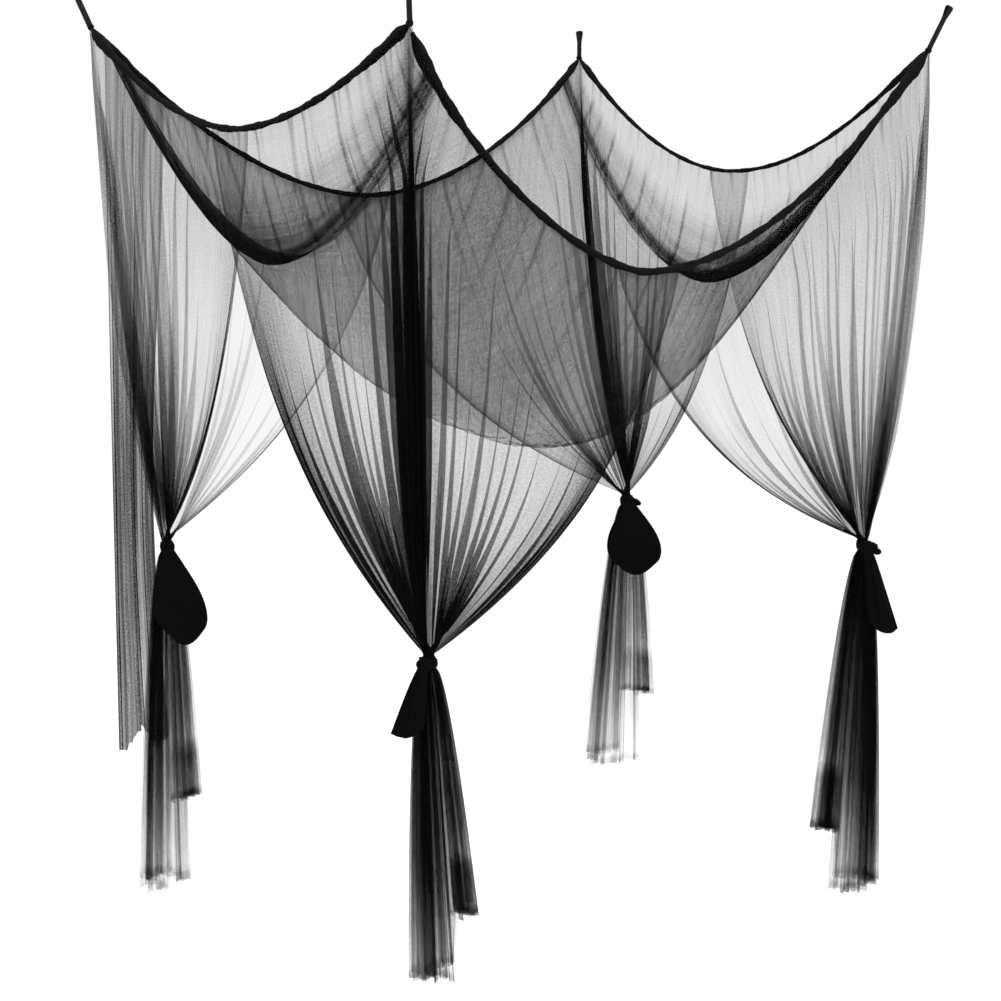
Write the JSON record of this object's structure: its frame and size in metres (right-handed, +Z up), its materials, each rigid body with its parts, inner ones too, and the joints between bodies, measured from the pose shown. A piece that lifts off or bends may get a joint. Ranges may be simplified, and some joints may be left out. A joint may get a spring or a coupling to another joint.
{
  "type": "mosquito net bed canopy",
  "caption": "Sheer black mosquito net canopy for a bed: a deeply slung net roof on bound edges, corner curtains gathered low by cloth ties, and webbing loops to hang it from hooks.",
  "frame": {"origin": "where the near corner's loop bears on its hook, under the ceiling", "axes": "+Z up; +X from the left corner towards the near one; +Y from the near corner towards the right one"},
  "size_m": [1.5915, 1.9284, 2.6103],
  "materials": {
    "black_net": "fine black polyester net, matt, see-through where it hangs single",
    "black_tape": "black binding, bunched net rolled into a soft cord",
    "black_webbing": "black woven webbing, sewn flat",
    "black_tie_cloth": "dense black cloth, soft and matt"
  },
  "bodies": {
    "root": {"roof_net": "black_net", "curtain_left": "black_net", "curtain_near": "black_net", "curtain_right": "black_net", "curtain_far": "black_net", "loose_width": "black_net", "binding_left_near": "black_tape", "binding_near_right": "black_tape", "binding_right_far": "black_tape", "binding_far_left": "black_tape", "loop_left": "black_webbing", "loop_near": "black_webbing", "loop_right": "black_webbing", "loop_far": "black_webbing", "tie_left": "black_tie_cloth", "tie_near": "black_tie_cloth", "tie_right": "black_tie_cloth", "tie_far": "black_tie_cloth"}
  },
  "joints": []
}
